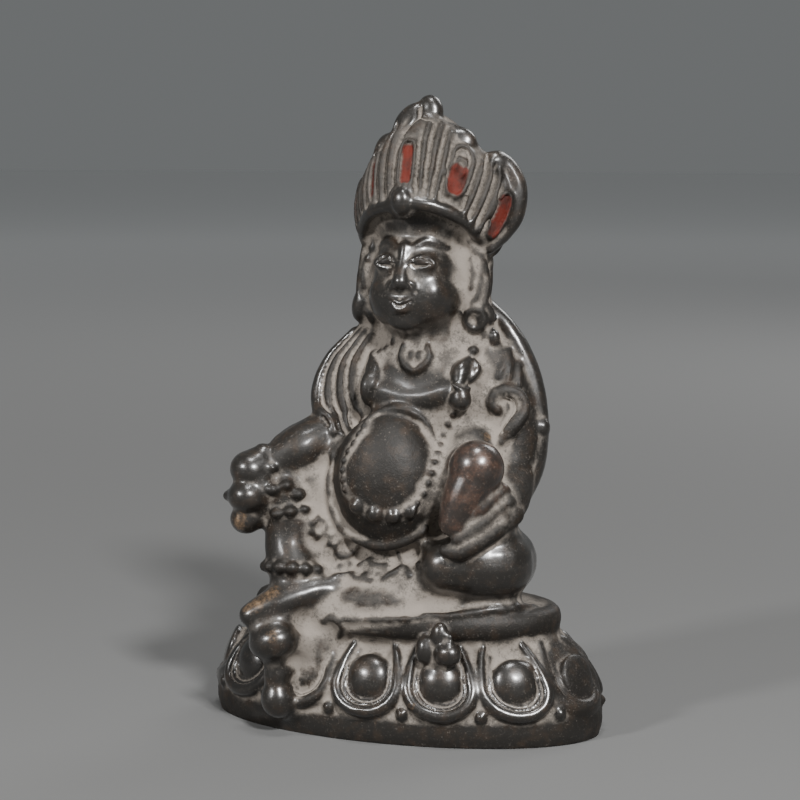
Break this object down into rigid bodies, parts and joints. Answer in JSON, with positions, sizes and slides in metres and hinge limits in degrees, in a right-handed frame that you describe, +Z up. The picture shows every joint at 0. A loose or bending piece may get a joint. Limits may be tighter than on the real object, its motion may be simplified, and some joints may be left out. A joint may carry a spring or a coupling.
{
  "type": "jambhala statue",
  "caption": "Small cast bronze figure of a seated, pot-bellied wealth deity with a leaf crown and a mongoose, on an oval lotus base",
  "frame": {"origin": "the centre of the flat underside of the base", "axes": "+Z up along the figure's height, -Y the way the figure faces, +X to the figure's left"},
  "size_m": [0.0526, 0.0326, 0.0799],
  "materials": {
    "bronze": "near-black brown patina, worn bright on the high spots, with pale dust in the hollows and dull red paint in the crown"
  },
  "bodies": {
    "root": {"jambhala_statue": "bronze"}
  },
  "joints": []
}
